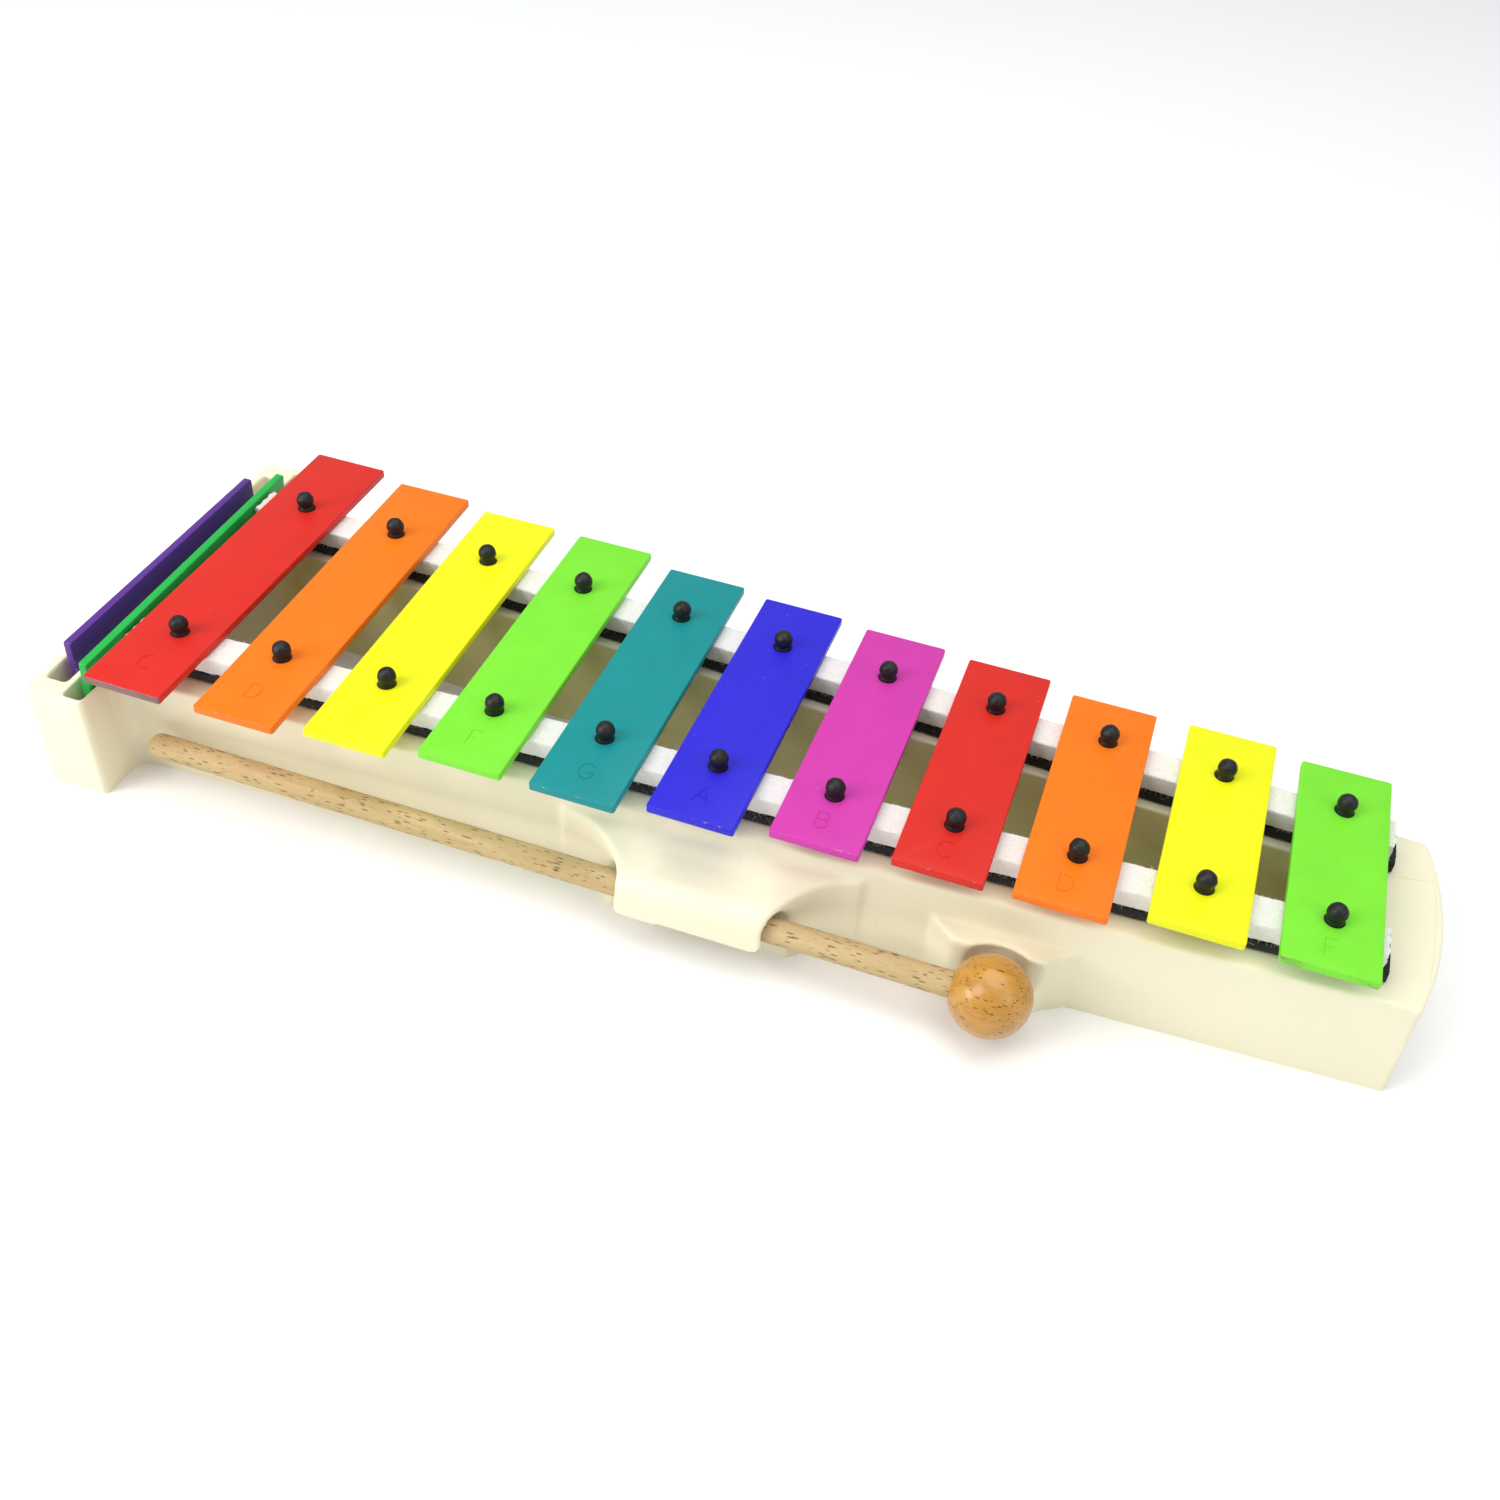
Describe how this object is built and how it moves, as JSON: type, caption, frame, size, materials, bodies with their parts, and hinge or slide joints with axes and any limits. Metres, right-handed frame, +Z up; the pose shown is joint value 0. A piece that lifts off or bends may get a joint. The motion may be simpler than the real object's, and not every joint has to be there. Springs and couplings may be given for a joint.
{
  "type": "glockenspiel",
  "caption": "Toy glockenspiel: tapering row of coloured metal bars resting on felted rails in a moulded casing, with spare bars and a ball mallet stowed on it.",
  "frame": {"origin": "middle of the casing's footprint, on the table", "axes": "+X along the row towards the short bars, +Y away from the player, +Z up"},
  "size_m": [0.32, 0.105, 0.0411],
  "materials": {
    "ivory_plastic": "moulded, soft gloss",
    "white_felt": "pressed felt, fluffy at the cut edges",
    "black_velour": "short pile with loose fibres",
    "black_rubber": "smooth, slightly shiny",
    "red_paint": "satin enamel on steel",
    "orange_paint": "satin enamel on steel",
    "yellow_paint": "satin enamel on steel",
    "light_green_paint": "satin enamel on steel",
    "teal_paint": "satin enamel on steel",
    "blue_paint": "satin enamel on steel",
    "pink_paint": "satin enamel on steel",
    "green_paint": "satin enamel on steel",
    "purple_paint": "satin enamel on steel",
    "plain_beech": "sanded",
    "varnished_beech": "varnished"
  },
  "bodies": {
    "frame": {"casing": "ivory_plastic", "front_felt_strip": "white_felt", "back_felt_strip": "white_felt", "front_underlay_strip": "black_velour", "back_underlay_strip": "black_velour", "pin_front_01": "black_rubber", "pin_front_02": "black_rubber", "pin_front_03": "black_rubber", "pin_front_04": "black_rubber", "pin_front_05": "black_rubber", "pin_front_06": "black_rubber", "pin_front_07": "black_rubber", "pin_front_08": "black_rubber", "pin_front_09": "black_rubber", "pin_front_10": "black_rubber", "pin_front_11": "black_rubber", "pin_back_01": "black_rubber", "pin_back_02": "black_rubber", "pin_back_03": "black_rubber", "pin_back_04": "black_rubber", "pin_back_05": "black_rubber", "pin_back_06": "black_rubber", "pin_back_07": "black_rubber", "pin_back_08": "black_rubber", "pin_back_09": "black_rubber", "pin_back_10": "black_rubber", "pin_back_11": "black_rubber"},
    "bar_c_low_body": {"bar_c_low": "red_paint"},
    "bar_d_low_body": {"bar_d_low": "orange_paint"},
    "bar_e_low_body": {"bar_e_low": "yellow_paint"},
    "bar_f_low_body": {"bar_f_low": "light_green_paint"},
    "bar_g_low_body": {"bar_g_low": "teal_paint"},
    "bar_a_body": {"bar_a": "blue_paint"},
    "bar_b_body": {"bar_b": "pink_paint"},
    "bar_c_high_body": {"bar_c_high": "red_paint"},
    "bar_d_high_body": {"bar_d_high": "orange_paint"},
    "bar_e_high_body": {"bar_e_high": "yellow_paint"},
    "bar_f_high_body": {"bar_f_high": "light_green_paint"},
    "spare_bar_f_sharp_body": {"spare_bar_f_sharp": "green_paint"},
    "spare_bar_b_flat_body": {"spare_bar_b_flat": "purple_paint"},
    "mallet": {"mallet_stick": "plain_beech", "mallet_head": "varnished_beech"}
  },
  "joints": [
    {"name": "bar_c_low_lift", "type": "slide", "parent": "frame", "child": "bar_c_low_body", "axis": [0, 0, 1], "range_m": [0, 0.011]},
    {"name": "bar_d_low_lift", "type": "slide", "parent": "frame", "child": "bar_d_low_body", "axis": [0, 0, 1], "range_m": [0, 0.011]},
    {"name": "bar_e_low_lift", "type": "slide", "parent": "frame", "child": "bar_e_low_body", "axis": [0, 0, 1], "range_m": [0, 0.011]},
    {"name": "bar_f_low_lift", "type": "slide", "parent": "frame", "child": "bar_f_low_body", "axis": [0, 0, 1], "range_m": [0, 0.011]},
    {"name": "bar_g_low_lift", "type": "slide", "parent": "frame", "child": "bar_g_low_body", "axis": [0, 0, 1], "range_m": [0, 0.011]},
    {"name": "bar_a_lift", "type": "slide", "parent": "frame", "child": "bar_a_body", "axis": [0, 0, 1], "range_m": [0, 0.011]},
    {"name": "bar_b_lift", "type": "slide", "parent": "frame", "child": "bar_b_body", "axis": [0, 0, 1], "range_m": [0, 0.011]},
    {"name": "bar_c_high_lift", "type": "slide", "parent": "frame", "child": "bar_c_high_body", "axis": [0, 0, 1], "range_m": [0, 0.011]},
    {"name": "bar_d_high_lift", "type": "slide", "parent": "frame", "child": "bar_d_high_body", "axis": [0, 0, 1], "range_m": [0, 0.011]},
    {"name": "bar_e_high_lift", "type": "slide", "parent": "frame", "child": "bar_e_high_body", "axis": [0, 0, 1], "range_m": [0, 0.011]},
    {"name": "bar_f_high_lift", "type": "slide", "parent": "frame", "child": "bar_f_high_body", "axis": [0, 0, 1], "range_m": [0, 0.011]},
    {"name": "spare_bar_f_sharp_lift", "type": "slide", "parent": "frame", "child": "spare_bar_f_sharp_body", "axis": [0.1011, 0, 0.9949], "range_m": [0, 0.022]},
    {"name": "spare_bar_b_flat_lift", "type": "slide", "parent": "frame", "child": "spare_bar_b_flat_body", "axis": [0.0262, 0, 0.9997], "range_m": [0, 0.022]},
    {"name": "mallet_draw", "type": "slide", "parent": "frame", "child": "mallet", "axis": [1, 0, 0], "range_m": [0, 0.175]}
  ]
}
